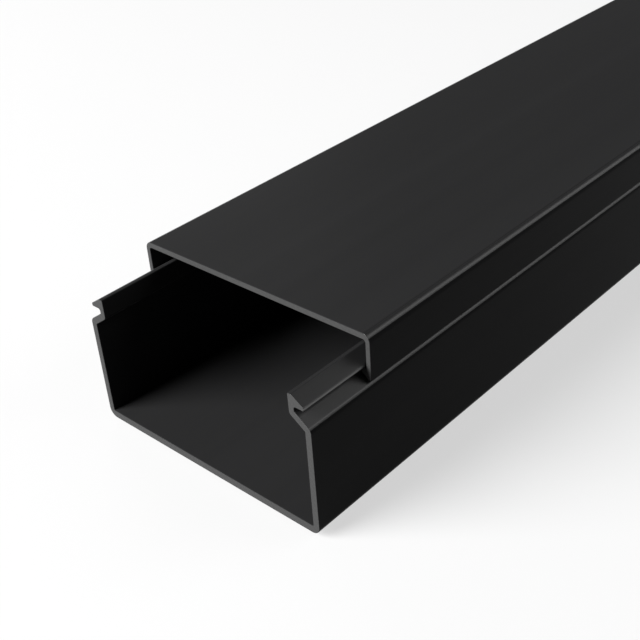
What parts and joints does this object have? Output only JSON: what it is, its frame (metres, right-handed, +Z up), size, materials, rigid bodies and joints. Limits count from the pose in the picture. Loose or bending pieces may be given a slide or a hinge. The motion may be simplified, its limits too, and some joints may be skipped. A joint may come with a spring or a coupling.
{
  "type": "adhesive cable trunking",
  "caption": "Adhesive cable trunking: a U-shaped channel with clip rails, a clip-on lid that slides along it, and foam tape under a peel-off liner on its back.",
  "frame": {"origin": "on the back of the trunking, at the outer face of the tape's liner, under the middle of the base's length and width", "axes": "+X across the trunking, +Y along it, from the end where the lid is set back to the end where it stands out, +Z up from the back to the lid"},
  "size_m": [0.06, 1.0163, 0.036],
  "materials": {
    "rigid_pvc": "satin",
    "foam_tape": "matte",
    "liner_paper": "satin"
  },
  "bodies": {
    "base": {"base": "rigid_pvc", "adhesive_tape": "foam_tape", "release_liner": "liner_paper"},
    "lid": {"lid": "rigid_pvc"}
  },
  "joints": [
    {"name": "lid_slide", "type": "slide", "parent": "base", "child": "lid", "axis": [0, 1, 0], "range_m": [-1.0163, 0.9837]}
  ]
}
